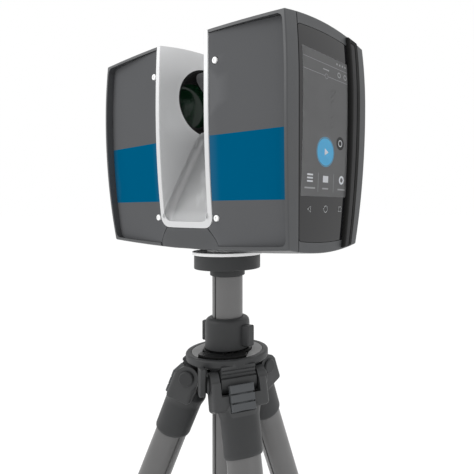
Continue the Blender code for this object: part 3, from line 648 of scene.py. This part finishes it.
def channel_ridge():
    """The roof-shaped floor of the channel, running up into both walls with a hollow fillet."""
    foot_y = 0.0485
    nose = 0.006
    low = FLOOR_Z + GAP
    slope = math.degrees(math.atan2(RIDGE_Z - nose - low, foot_y - nose))
    bend = arc((0, RIDGE_Z - nose), nose, 90 - slope, 90 + slope, 12)
    stations = []
    for share in [step / 14 for step in range(14)]:
        stations.append((Vector((foot_y, low)).lerp(Vector(bend[0]), share), 90 - slope))
    for step, point in enumerate(bend):
        stations.append((Vector(point), 90 - slope + 2 * slope * step / 12))
    for share in [step / 14 for step in range(1, 15)]:
        stations.append((Vector(bend[-1]).lerp(Vector((-foot_y, low)), share), 90 + slope))
    half = CHANNEL_X - 0.0001
    rows = []
    for point, lean in stations:
        normal = Vector((math.cos(math.radians(lean)), math.sin(math.radians(lean))))
        left = []
        for step in range(9):
            angle = math.radians(90 * step / 8)
            x = half - FILLET + FILLET * math.cos(angle)
            place = point + normal * FILLET * (1 - math.sin(angle))
            left.append((-x, place.x, place.y))
        middle = [(x * (half - FILLET) / 6, point.x, point.y) for x in range(-5, 6)]
        right = [(-x, y, z) for x, y, z in reversed(left)]
        rows.append([crowned(place) for place in left + middle + right])
    obj = sheet("ridge_look", rows, 0.0012)
    dress(obj, "head", SATIN_SILVER, nodes=("channel_ridge",), sharp=50)


# ---- display end -------------------------------------------------------------
def on_glass(y, z, lift):
    """The point of the right end's surface at a true depth and height, raised by lift."""
    flat_y = y
    flat_z = z
    for _ in range(6):
        guess = crowned((CASE_X, flat_y, flat_z))
        flat_y += y - guess.y
        flat_z += z - guess.z
    return crowned((CASE_X, flat_y, flat_z)) + Vector((lift, 0, 0))


def patch(y_low, y_high, z_low, z_high, lift):
    """A thin rectangle lying on the glass."""
    across = max(1, round((y_high - y_low) / 0.004))
    up = max(1, round((z_high - z_low) / 0.004))
    rows = []
    for row in range(up + 1):
        z = z_low + (z_high - z_low) * row / up
        places = [y_low + (y_high - y_low) * step / across for step in range(across + 1)]
        rows.append([on_glass(y, z, lift) for y in places])
    return sheet("patch", rows, 0.00003)


def spot(y, z, radius, lift, inner=0.0, sides=48, turn=0.0):
    """A thin disc, ring or polygon lying on the glass."""
    rings = 2
    rows = []
    for row in range(rings + 1):
        reach = inner + (radius - inner) * row / rings
        reach = max(reach, radius * 0.001)
        line = []
        for step in range(sides + 1):
            angle = math.radians(turn) + math.tau * (step % sides) / sides
            line.append(on_glass(y + reach * math.cos(angle), z + reach * math.sin(angle), lift))
        rows.append(line)
    return sheet("spot", rows, 0.00003)


def screen():
    """The lit screen's areas, lines and symbols, all without lettering."""
    layer = 0.00006
    top = 2 * layer
    area = [patch(-0.0346, 0.0230, 0.0465, 0.1533, layer)]
    dress(join("screen_area", area), "head", SCREEN)
    lines = [patch(-0.0340, 0.0222, 0.1461, 0.1464, top),
             patch(-0.0340, -0.0082, 0.1371, 0.1374, top),
             patch(-0.0040, 0.0222, 0.1371, 0.1374, top),
             patch(-0.0148, -0.0145, 0.0500, 0.0640, top),
             patch(0.0050, 0.0053, 0.0500, 0.0640, top),
             spot(-0.0061, 0.1371, 0.0020, top, 0.0017),
             patch(-0.0103, -0.0026, 0.1416, 0.1424, top),
             patch(-0.0306, -0.0182, 0.0520, 0.0531, top),
             patch(-0.0092, -0.0016, 0.0520, 0.0531, top),
             patch(0.0112, 0.0212, 0.0520, 0.0531, top)]
    for y in (0.0086, 0.0124, 0.0162, 0.0200):
        lines.append(patch(y - 0.0008, y + 0.0008, 0.1493, 0.1507, top))
    for y in (0.0110, 0.0195):
        lines.append(spot(y, 0.1418, 0.0022, top, 0.0014))
    lines.append(spot(-0.0237, 0.0371, 0.0028, top, 0.0020, 3, 180))
    lines.append(spot(-0.0038, 0.0371, 0.0027, top, 0.0020))
    lines.append(spot(0.0156, 0.0371, 0.0030, top, 0.0022, 4, 45))
    dress(join("screen_lines", lines), "head", SCREEN_LINE)
    button = [spot(-0.0064, 0.0801, 0.0103, top), spot(-0.0064, 0.0801, 0.0112, top, 0.0108)]
    dress(join("screen_button", button), "head", SCREEN_BLUE)
    dress(join("screen_knob", [spot(0.0128, 0.0886, 0.0052, top)]), "head", SCREEN_DARK)
    high = 3 * layer
    white = [spot(-0.0060, 0.0801, 0.0032, high, 0.0, 3),
             spot(0.0128, 0.0886, 0.0027, high, 0.0020),
             patch(-0.0280, -0.0212, 0.0592, 0.0604, top),
             patch(-0.0280, -0.0212, 0.0616, 0.0628, top),
             patch(-0.0280, -0.0212, 0.0568, 0.0580, top),
             patch(-0.0088, -0.0020, 0.0572, 0.0622, top),
             spot(0.0160, 0.0600, 0.0036, top, 0.0019, 8)]
    dress(join("screen_symbols", white), "head", SCREEN_WHITE)


def display_glass():
    """The front glass of the display end."""
    obj = box("glass_look", (CASE_X - 0.0014, -WINDOW_Y + GAP, WINDOW_Z[0] + GAP),
              (CASE_X, GRIP_Y - GAP, WINDOW_Z[1] - GAP), 0.0025, "x")
    soften(obj, 0.0004, 3, 60)
    crown(obj, 48)
    dress(obj, "head", FRONT_GLASS, nodes=("display_glass",))


def grip_strip():
    """The black bar beside the display, with a lighter grey strip between two grooves; the strip is a painted
    highlight along the bar.
    """
    bar = box("grip_look", (CASE_X + GAP, GRIP_Y, 0.0015), (GRIP_X, WINDOW_Y, CASE_Z - 0.0015), 0.0018,
              keep=lambda middle: middle.x > 0.1155)
    root = box("grip_root", (CASE_X - 0.0030, GRIP_Y, WINDOW_Z[0] + GAP),
               (CASE_X + 0.001, WINDOW_Y - GAP, WINDOW_Z[1] - GAP))
    cut(bar, root, "UNION")
    cut(bar, box("painted_sheen_bed", (GRIP_X - 0.0010, 0.0268, -0.01), (GRIP_X + 0.01, 0.0334, CASE_Z - 0.006),
                 0.0012, "x"))
    soften(bar, 0.0003, 2, 60)
    crown(bar, 48)
    dress(bar, "head", SOFT_BLACK, nodes=("grip_strip",))
    # The lighter grey strip is a painted highlight, standing for the sheen down the bar's face.
    painted_sheen_strip = box("grip_painted_sheen", (GRIP_X - 0.0009, 0.0274, 0.0021), (GRIP_X - 0.0001, 0.0328, CASE_Z - 0.0066),
                0.0008, "x")
    soften(painted_sheen_strip, 0.0003, 2, 60)
    crown(painted_sheen_strip, 48)
    dress(painted_sheen_strip, "head", ROTOR_GREY_AND_PAINTED_SHEEN)


# ---- battery end -------------------------------------------------------------
def battery_side():
    """The battery door with its latch slot and ribs, and the power button."""
    door = box("door_look", (-CASE_X, -DOOR_Y + GAP, DOOR_Z[0] + GAP),
               (-CASE_X + WALL - 0.0002, DOOR_Y - GAP, DOOR_Z[1] - 2 * GAP), 0.0004, "x")
    latch_z = DOOR_Z[0] + 0.012
    cut(door, box("latch_slot", (-0.13, -0.0085, latch_z - 0.0075), (-0.10, 0.0085, latch_z + 0.0105),
                  0.0012, "x"))
    for step in range(3):
        height = 0.088 + 0.0045 * step
        cut(door, box("rib_groove", (-0.13, -0.024, height), (-CASE_X + 0.0006, 0.024, height + 0.0012),
                      0.0003, "y"))
    soften(door, 0.0003, 2, 60)
    crown(door, 32)
    dress(door, "battery_door", CASING_GREY, nodes=("battery_door",))
    profile = rounded([(0, -0.0060), (0.0050, -0.0062), (0.0058, -0.0068), (0.0070, -0.0062),
                       (0.0070, -0.0018), (0.0086, -0.0018), (0.0086, 0), (0, 0)], 0.0004)
    button = turned("button_look", profile, axis="x", location=(BUTTON_X, 0, BUTTON_Z))
    dress(button, "power_button", STEEL, nodes=("power_button",))


# ---- optics and mirror ---------------------------------------------------------
def lens_shroud():
    """The black cone inside the round opening, stepped inwards."""
    mouth_r = 0.0292
    throat_r = 0.0228
    mouth_x = -0.0296
    throat_x = -0.0440
    back_x = -0.0520
    profile = []
    count = 7
    for step in range(count):
        share = step / count
        radius = mouth_r - (mouth_r - throat_r) * share
        depth = mouth_x - (mouth_x - throat_x) * share
        profile += [(radius, depth), (radius - 0.0004, depth - 0.0016)]
    profile += [(throat_r, throat_x), (throat_r, back_x), (LENS_R - GAP, back_x), (LENS_R - GAP, mouth_x)]
    shroud = turned("shroud_look", profile, True, 96, "x", (0, 0, MIRROR_Z))
    dress(shroud, "head", SOFT_BLACK, nodes=("lens_shroud",))


def lens():
    """The domed window at the bottom of the cone, and the ring that holds it."""
    dome = 0.0030
    edge = 0.0225
    bulge = []
    for step in range(10):
        radius = edge * step / 9
        bulge.append((radius, -0.0480 + dome * (1 - (radius / edge) ** 2)))
    window = turned("lens_look", bulge + [(edge, -0.0505), (0, -0.0505)], False, 96, "x", (0, 0, MIRROR_Z))
    dress(window, "head", LENS_GLASS, nodes=("lens_window",))
    ring = turned("lens_ring", rounded([(0.0210, -0.0470), (0.0210, -0.0458), (0.0228, -0.0458),
                                        (0.0228, -0.0470)], 0.0003), True, 96, "x", (0, 0, MIRROR_Z))
    dress(ring, "head", GLOSS_BLACK)


def mirror_unit():
    """The rotor, cut at 45 degrees, with its mirror set into the slanted face."""
    slant = MIRROR_TIP - MIRROR_R
    rotor = turned("rotor_look", rounded([(0, 0.0330), (MIRROR_R, 0.0330), (MIRROR_R, -MIRROR_TIP),
                                          (0, -MIRROR_TIP)], 0.0006), False, 96, "x")
    lean = Matrix.Translation((-slant, 0, 0)) @ Matrix.Rotation(math.radians(-45), 4, "Y")
    wedge = box("wedge", (-0.2, -0.05, -0.1), (0, 0.05, 0.1))
    wedge.data.transform(lean)
    cut(rotor, wedge)
    on_face = (Matrix.Translation((-slant, 0, 0)) @ Matrix.Rotation(math.radians(-135), 4, "Y")
               @ Matrix.Diagonal((SLANT_STRETCH, 1, 1, 1)))
    pocket = rod("pocket", 0.0262, -0.0025, 0.02, steps=96)
    pocket.data.transform(on_face)
    cut(rotor, pocket)
    for place in (0.0100, 0.0300):
        cut(rotor, turned("rotor_seam", [(0.0274, place), (0.05, place), (0.05, place + 0.0006),
                                         (0.0274, place + 0.0006)], True, 96, "x"))
    soften(rotor, 0.0003, 2, 50)
    centre = CASE @ Matrix.Translation((0, 0, MIRROR_Z))
    dress(rotor, "mirror", ROTOR_GREY_AND_PAINTED_SHEEN, centre, ("mirror_rotor",))
    glass = rod("mirror_look", 0.0259, -0.0022, -0.0004, steps=96)
    glass.data.transform(on_face)
    soften(glass, 0.0002, 2, 50)
    dress(glass, "mirror", MIRROR, centre, ("mirror_glass",))


# ---- base plate, column and collar --------------------------------------------
def turret():
    """The base plate with its spindle, and the flange on top of the column."""
    plate = rounded([(0.0180, SPINDLE_TOP), (0.0180, -0.0004), (0.0310, -0.0004), (0.0310, -0.0032),
                     (0.0053, -0.0032)], 0.0005)
    plate = [(0.0053, SPINDLE_TOP)] + plate
    dress(turned("plate_look", plate, True, 96), "column", WHITE_METAL, nodes=("base_plate",))
    flange = rounded([(0.0053, -0.0035), (FLANGE_R, -0.0035), (FLANGE_R, -0.0157), (0.0155, -0.0157),
                      (0.0155, -0.0222), (0.0053, -0.0222)], 0.0009)
    dress(turned("flange_look", flange, True, 80), "column", CASTING, nodes=("column_flange",))


def centre_column():
    """The column, with a groove down its front and back."""
    low, high = COLUMN_Z
    bore = COLUMN_R - 0.0022
    obj = turned("column_look", [(bore, high), (COLUMN_R - 0.0004, high), (COLUMN_R, high - 0.0004),
                                 (COLUMN_R, low + 0.0006), (COLUMN_R - 0.0006, low), (bore, low)], True, 80)
    for turn in COLUMN_GROOVES:
        groove = box("groove", (COLUMN_R - 0.0010, -0.0010, -0.4), (0.02, 0.0010, 0.1))
        groove.data.transform(Matrix.Rotation(math.radians(turn), 4, "Z"))
        cut(obj, groove)
    soften(obj, 0.0003, 2, 50)
    dress(obj, "column", TUBE, nodes=("centre_column",))


def collar():
    """The twist collar with its two finger wings."""
    profile = rounded([(COLUMN_R + GAP, -0.0597), (0.0165, -0.0597), (0.0190, -0.0615), (COLLAR_R, -0.0647),
                       (COLLAR_R, -0.0872), (COLUMN_R + GAP, -0.0872)], 0.0014)
    obj = turned("collar_look", profile, True, 80)
    for side in (-1, 1):
        low, high = both(side, 0.0150, 0.0268)
        wing = box("wing", (low, -0.0045, -0.0838), (high, 0.0045, -0.0655), 0.0014)
        wing.data.transform(Matrix.Rotation(WING_TURN, 4, "Z"))
        cut(obj, wing, "UNION")
    cut(obj, rod("collar_bore", COLUMN_R + GAP, -0.1, 0))
    dress(obj, "collar", CASTING, nodes=("lock_collar",))


def lock_seat():
    """The black seat under the collar, a ring that runs out to a squared front."""
    low = SPIDER_TOP - 0.0018
    high = SPIDER_TOP + 0.0020
    facing = Matrix.Rotation(SEAT_TURN, 4, "Z")
    seat = turned("seat_look", [(COLUMN_R + GAP, high), (0.0213, high), (0.0213, low), (COLUMN_R + GAP, low)],
                  True, 80)
    front = box("seat_front", (0.0160, -SEAT_X, low), (0.05, SEAT_X, high))
    cut(front, rod("seat_round", SEAT_R, -0.2, 0.2, steps=96), "INTERSECT")
    front.data.transform(facing)
    cut(seat, front, "UNION")
    soften(seat, 0.0005, 3, 60)
    dress(seat, "tripod", GLOSS_BLACK, nodes=("lock_seat",))
    disc = turned("disc_look", rounded([(0.0218, low), (0.0218, SPIDER_TOP), (DISC_R, SPIDER_TOP),
                                        (DISC_R, low)], 0.0003), True, 96)
    notch = box("notch", (0, -SEAT_X - GAP, low - 0.01), (0.05, SEAT_X + GAP, high + 0.01))
    notch.data.transform(facing)
    cut(disc, notch)
    dress(disc, "tripod", DISC, nodes=("spider_disc",))


# ---- tripod spider -----------------------------------------------------------
def leg_turn(number):
    """The turn from the X axis to one leg, taken from where its hinge is."""
    place = leg_matrix(number).translation - BASE
    return Matrix.Rotation(math.atan2(place.y, place.x), 4, "Z")


def spider():
    """The three-armed casting under the collar, with the lug beside the first leg."""
    top = SPIDER_TOP
    profile = rounded([(COLUMN_R + GAP, top - 0.0021), (DISC_R + GAP, top - 0.0021), (DISC_R + GAP, top),
                       (RIM_R - 0.001, top), (RIM_R, top - 0.001), (RIM_R, top - 0.0060),
                       (0.0330, top - 0.0085), (HUB_R, top - 0.0085), (HUB_R, HUB_Z),
                       (COLUMN_R + GAP, HUB_Z)], 0.0010)
    obj = turned("spider_look", profile, True, 96)
    for number in range(3):
        arm = box("arm", (0.0140, -ARM_Y, HINGE_Z), (HINGE_RADIUS, ARM_Y, top - 0.004))
        cut(arm, rod("eye", ARM_R, -ARM_Y, ARM_Y, "y", (HINGE_RADIUS, 0, HINGE_Z)), "UNION")
        nose = box("nose", (0.0250, -ARM_Y + 0.0005, HINGE_Z + 0.003),
                   (RIM_R - 0.0002, ARM_Y - 0.0005, top - 0.0045), 0.0025, "y",
                   lambda middle: middle.x > 0.03 and middle.z < top - 0.006)
        cut(arm, nose, "UNION")
        for step in range(3):
            height = HINGE_Z + 0.0060 + 0.0030 * step
            cut(arm, box("arm_groove", (RIM_R - 0.0012, -0.05, height - 0.0006),
                         (0.06, 0.05, height + 0.0006)))
        soften(arm, 0.0004, 2, 50)
        arm.data.transform(leg_turn(number))
        cut(obj, arm, "UNION")
    lug = box("side_lug", (0.0245, -0.0315, HINGE_Z - 0.0085), (0.0345, -0.0268, SPIDER_TOP - 0.0045), 0.0045,
              "y", lambda middle: middle.z < HINGE_Z, 8)
    soften(lug, 0.0010, 3, 60)
    lug.data.transform(leg_turn(0))
    cut(obj, lug, "UNION")
    dress(obj, "tripod", CASTING, nodes=("tripod_spider",))


def hinge_pin(number):
    """A hinge pin with a round cap outside each plate of the fork."""
    reach = FORK_Y[1] + GAP
    cap = rounded([(0, reach + 0.0022), (0.0056, reach + 0.0022), (0.0066, reach + 0.0012), (0.0066, reach),
                   (HINGE_PIN_R, reach)], 0.0004)
    profile = cap + [(radius, -height) for radius, height in reversed(cap)]
    place = Matrix.Translation((HINGE_RADIUS, 0, HINGE_Z)) @ Matrix.Rotation(math.radians(90), 4, "X")
    obj = turned("pin_look", profile, False, 40)
    node = f"leg_{number + 1}_hinge_pin"
    dress(obj, "tripod", CASTING, CASE @ leg_turn(number) @ place, (node,))


# ---- tripod legs -------------------------------------------------------------
def joint(name):
    """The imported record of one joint."""
    return next(row for row in frame["joints"] if row["name"] == name)


def leg_matrix(number):
    """A leg's own frame: its hinge, with -Z down the leg and +X facing outwards."""
    prefix = f"leg_{number + 1}"
    down = Vector(joint(prefix + "_extend")["axis"]).normalized()
    outward = Vector(joint(prefix + "_tab_pull")["axis"]).normalized()
    across = (-down).cross(outward)
    matrix = Matrix((outward, across, -down)).transposed().to_4x4()
    matrix.translation = Vector(joint(prefix + "_fold")["pos_m"])
    return matrix


def leg_casting(prefix, leg):
    """The leg's head: a fork round the spider's arm, running into a round sleeve."""
    wide = FORK_Y[1]
    obj = box("casting_look", (-HEAD_R, -wide, -0.0225), (0.0125, wide, 0.0), 0.0035,
              keep=lambda middle: middle.z < -0.01)
    cut(obj, rod("eye", HEAD_R, -wide, wide, "y"), "UNION")
    cut(obj, box("slot", (-0.05, -FORK_Y[0], -0.0112), (0.05, FORK_Y[0], 0.05)))
    sleeve = rounded([(0, -0.0150), (0.0150, -0.0150), (0.0180, -0.0215), (SLEEVE_R, -0.0290),
                      (SLEEVE_R - 0.0004, -SLEEVE_END + 0.0020), (SLEEVE_R - 0.0014, -SLEEVE_END),
                      (0, -SLEEVE_END)], 0.0014)
    cut(obj, turned("sleeve", sleeve), "UNION")
    cut(obj, rod("socket", TUBE_R + GAP, -0.07, -0.0300))
    cut(obj, rod("bore", HINGE_PIN_R + GAP, -0.03, 0.03, "y"))
    cut(obj, box("pocket", (0.0100, -0.0105, -0.0245), (0.03, 0.0105, 0.02), 0.0006, "x"))
    soften(obj, 0.0005, 2, 50)
    dress(obj, prefix, CASTING, leg, (prefix + "_casting",))


def angle_tab(prefix, leg):
    """The ribbed tab that sets the leg's angle."""
    obj = box("tab_look", (0.0105, -0.0100, -0.0241), (0.0170, 0.0100, -0.0035), 0.0012,
              keep=lambda middle: middle.x > 0.015)
    for height in (-0.0175, -0.0105):
        low = height - 0.0006
        high = height + 0.0006
        groove = turned("rib_gap", [(0.0150, low), (0.05, low), (0.05, high), (0.0150, high)], True, 64)
        groove.data.transform(Matrix.Translation((0.0008, 0, 0)))
        cut(obj, groove)
    soften(obj, 0.0003, 2, 50)
    dress(obj, prefix + "_tab", TAB, leg, (prefix + "_angle_tab",))


def fluted(obj, radius, low, high, count, width, depth):
    """Cut lengthwise flutes into a turned piece."""
    for step in range(count):
        flute = box("flute", (radius - depth, -width / 2, low), (radius + 0.01, width / 2, high),
                    width / 4, "z")
        flute.data.transform(Matrix.Rotation(math.tau * step / count, 4, "Z"))
        cut(obj, flute)
    return obj


def leg_tubes(prefix, leg):
    """Upper tube, twist lock and lower tube, from the hinge down."""
    upper = turned("upper_look", rounded([(TUBE_R - 0.0012, -0.0303), (TUBE_R, -0.0303), (TUBE_R, -TUBE_END),
                                          (TUBE_R - 0.0012, -TUBE_END)], 0.0004), True, 72)
    for turn in TUBE_GROOVES:
        groove = box("groove", (TUBE_R - 0.0008, -0.0011, -0.5), (0.02, 0.0011, 0.1))
        groove.data.transform(Matrix.Rotation(math.radians(turn), 4, "Z"))
        cut(upper, groove)
    dress(upper, prefix, TUBE, leg, (prefix + "_upper_tube",))
    end = Matrix.Translation((0, 0, -TUBE_END))
    bore = LOWER_R + GAP
    grip = rounded([(bore, -GAP), (TUBE_R + GAP, -GAP), (TUBE_R + GAP, 0.0120), (0.0166, 0.0120),
                    (0.0174, 0.0105), (0.0174, -0.0240), (0.0159, -0.0300), (bore, -0.0300)], 0.0010)
    lock = fluted(turned("lock_look", grip, True, 72), 0.0174, -0.0235, 0.0095, 18, 0.0020, 0.0007)
    dress(lock, prefix + "_lock", RUBBER, leg @ end, (prefix + "_twist_lock",))
    lower = turned("lower_look", rounded([(LOWER_R - 0.0012, -LOWER_TOP), (LOWER_R, -LOWER_TOP),
                                          (LOWER_R, -LOWER_END), (LOWER_R - 0.0012, -LOWER_END)], 0.0004),
                   True, 64)
    fluted(lower, LOWER_R, -0.6, 0, 3, 0.0014, 0.0004)
    dress(lower, prefix + "_lower", TUBE, leg, (prefix + "_lower_tube",))


# ---- assembly ----------------------------------------------------------------
def cad_finishes():
    """Better materials for the CAD nodes that stay."""
    looks = {"base_housing": BRIDGE_GREY, "battery": SOFT_BLACK, "display_module": STEEL,
             "laser_module": COPPER, "main_board": BOARD, "mirror_motor": COPPER, "pan_bearing": STEEL,
             "pan_motor": COPPER, "receiver_barrel": STEEL, "shaft_bearing": STEEL, "rotor_shaft": STEEL,
             "door_hinge_pin": STEEL, "mounting_screw": STEEL, "door_latch": SOFT_BLACK}
    for number in range(3):
        looks[f"leg_{number + 1}_foot"] = RUBBER
    for name, look in looks.items():
        mesh = frame["nodes"][name].data
        mesh.materials.clear()
        mesh.materials.append(look)


def scanner():
    """Everything from the casing down to the column."""
    left_shell()
    right_shell()
    for side in (-1, 1):
        for front in (-1, 1):
            panel(side, front)
    panel_screws()
    bridge_cover(-1)
    bridge_cover(1)
    channel_liner()
    channel_ridge()
    display_glass()
    screen()
    grip_strip()
    battery_side()
    lens_shroud()
    lens()
    mirror_unit()
    turret()
    centre_column()


def tripod():
    """The collar, the spider and three legs."""
    collar()
    lock_seat()
    spider()
    for number in range(3):
        hinge_pin(number)
        leg = leg_matrix(number)
        prefix = f"leg_{number + 1}"
        leg_casting(prefix, leg)
        angle_tab(prefix, leg)
        leg_tubes(prefix, leg)


# ---- stage, light and camera ---------------------------------------------------
def stage():
    """A pale floor under an even white sky."""
    floor = turned("floor", [(0, -0.0004), (60.0, -0.0004), (60.0, -0.02), (0, -0.02)], steps=96)
    pale = surface("floor_white", (0.90, 0.90, 0.90), 0.7, bump=0.02, mottle=0.005, wear=0.0, shine=0.0)
    shader = pale.node_tree.nodes["Principled BSDF"]
    shader.inputs["Emission Color"].default_value = (1.0, 1.0, 1.0, 1.0)
    shader.inputs["Emission Strength"].default_value = 0.12
    floor.data.materials.append(pale)
    world = bpy.data.worlds.new("studio")
    bpy.context.scene.world = world
    world.use_nodes = True
    background = world.node_tree.nodes["Background"]
    background.inputs["Color"].default_value = (1.0, 1.0, 1.0, 1.0)
    background.inputs["Strength"].default_value = 1.0


def lamp(name, place, target, size, watts):
    """A soft square light at a place, facing a target."""
    data = bpy.data.lights.new(name, "AREA")
    data.shape = "SQUARE"
    data.size = size
    data.energy = watts
    obj = bpy.data.objects.new(name, data)
    bpy.context.scene.collection.objects.link(obj)
    obj.location = place
    obj.rotation_euler = (Vector(target) - Vector(place)).to_track_quat("-Z", "Y").to_euler()


def lights():
    """A key light from the front left and a weaker one from the right."""
    aim = BASE + Vector((0, 0, LIGHT_AIM))
    lamp("key", BASE + Vector((-0.9, -1.1, 0.9)), aim, 0.9, 7)
    lamp("fill", BASE + Vector((1.3, 0.2, 0.7)), aim, 1.2, 2)


def camera():
    """The fitted camera, level, to the front right of the casing."""
    data = bpy.data.cameras.new("camera")
    data.lens = LENS_MM
    data.shift_x, data.shift_y = CAMERA_SHIFT
    data.clip_start = 0.01
    obj = bpy.data.objects.new("camera", data)
    bpy.context.scene.collection.objects.link(obj)
    obj.location = BASE + Vector(CAMERA_PLACE)
    obj.rotation_euler = Vector(CAMERA_LOOK).to_track_quat("-Z", "Y").to_euler()
    bpy.context.scene.camera = obj


def main():
    bpy.context.scene.view_settings.view_transform = "Standard"
    scanner()
    tripod()
    cad_finishes()
    stage()
    lights()
    camera()


main()
